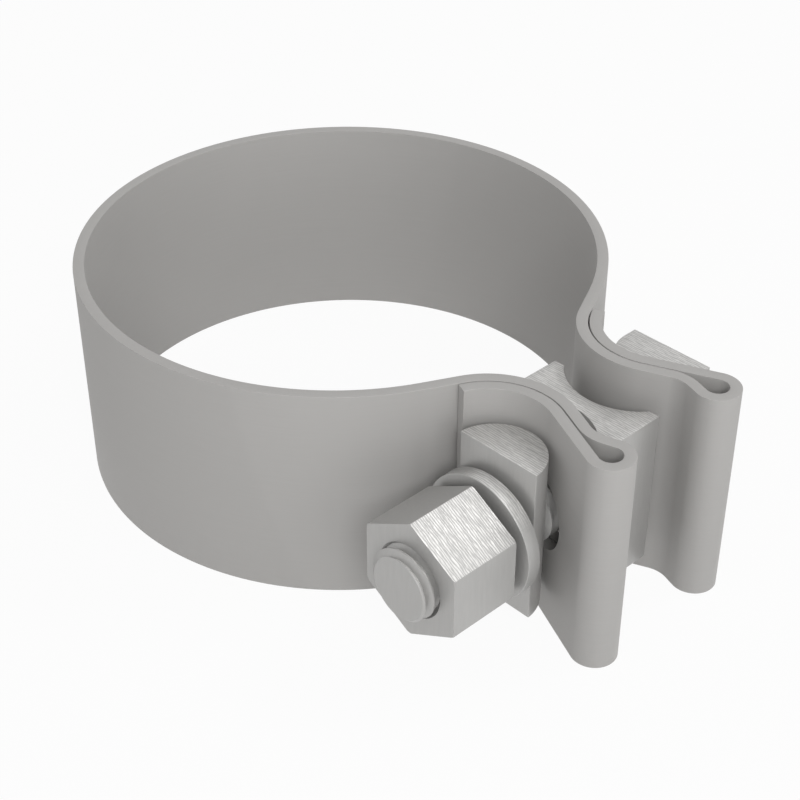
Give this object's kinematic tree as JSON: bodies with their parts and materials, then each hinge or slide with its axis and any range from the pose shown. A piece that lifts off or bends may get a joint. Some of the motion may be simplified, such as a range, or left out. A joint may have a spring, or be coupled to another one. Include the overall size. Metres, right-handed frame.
{
  "type": "exhaust clamp",
  "caption": "Flat steel band folded into an ear at each end, drawn together round an exhaust joint by a bolt and nut through half-round bars, with a spacer between the ears.",
  "frame": {"origin": "on the axis of the pipe bore, at the band's lower edge", "axes": "+Z along the pipe, +X from the pipe's axis to the ears, +Y along the bolt from the nut to the head"},
  "size_m": [0.0997, 0.0756, 0.0318],
  "materials": {
    "band_steel": "satin rolled stainless strip",
    "hardware_steel": "fine brushed stainless"
  },
  "bodies": {
    "clamp": {"band": "band_steel", "spacer_block": "hardware_steel"},
    "bolt": {"bolt": "hardware_steel", "head_side_bar": "hardware_steel"},
    "nut_side_bar": {"nut_side_bar": "hardware_steel"},
    "washer": {"washer": "hardware_steel"},
    "nut": {"nut": "hardware_steel"}
  },
  "joints": [
    {"name": "bolt_slide", "type": "slide", "parent": "clamp", "child": "bolt", "axis": [0, 1, 0], "range_m": [-0.00135, 0.00834]},
    {"name": "nut_side_bar_slide", "type": "slide", "parent": "clamp", "child": "nut_side_bar", "axis": [0, 1, 0], "range_m": [-0.00114, 0.00018]},
    {"name": "washer_slide", "type": "slide", "parent": "clamp", "child": "washer", "axis": [0, 1, 0], "range_m": [-0.00366, 0.00059]},
    {"name": "nut_turn", "type": "hinge", "parent": "washer", "child": "nut", "pos_m": [0.04539, -0.02505, 0.01588], "axis": [0, 1, 0], "range_deg": [-2880, 466]}
  ],
  "couplings": [
    {"joint": "nut_turn", "follows": "bolt_slide", "rad_per_m": -6025},
    {"joint": "washer_slide", "follows": "bolt_slide", "ratio": -0.43836},
    {"joint": "nut_side_bar_slide", "follows": "bolt_slide", "ratio": -0.13699}
  ]
}
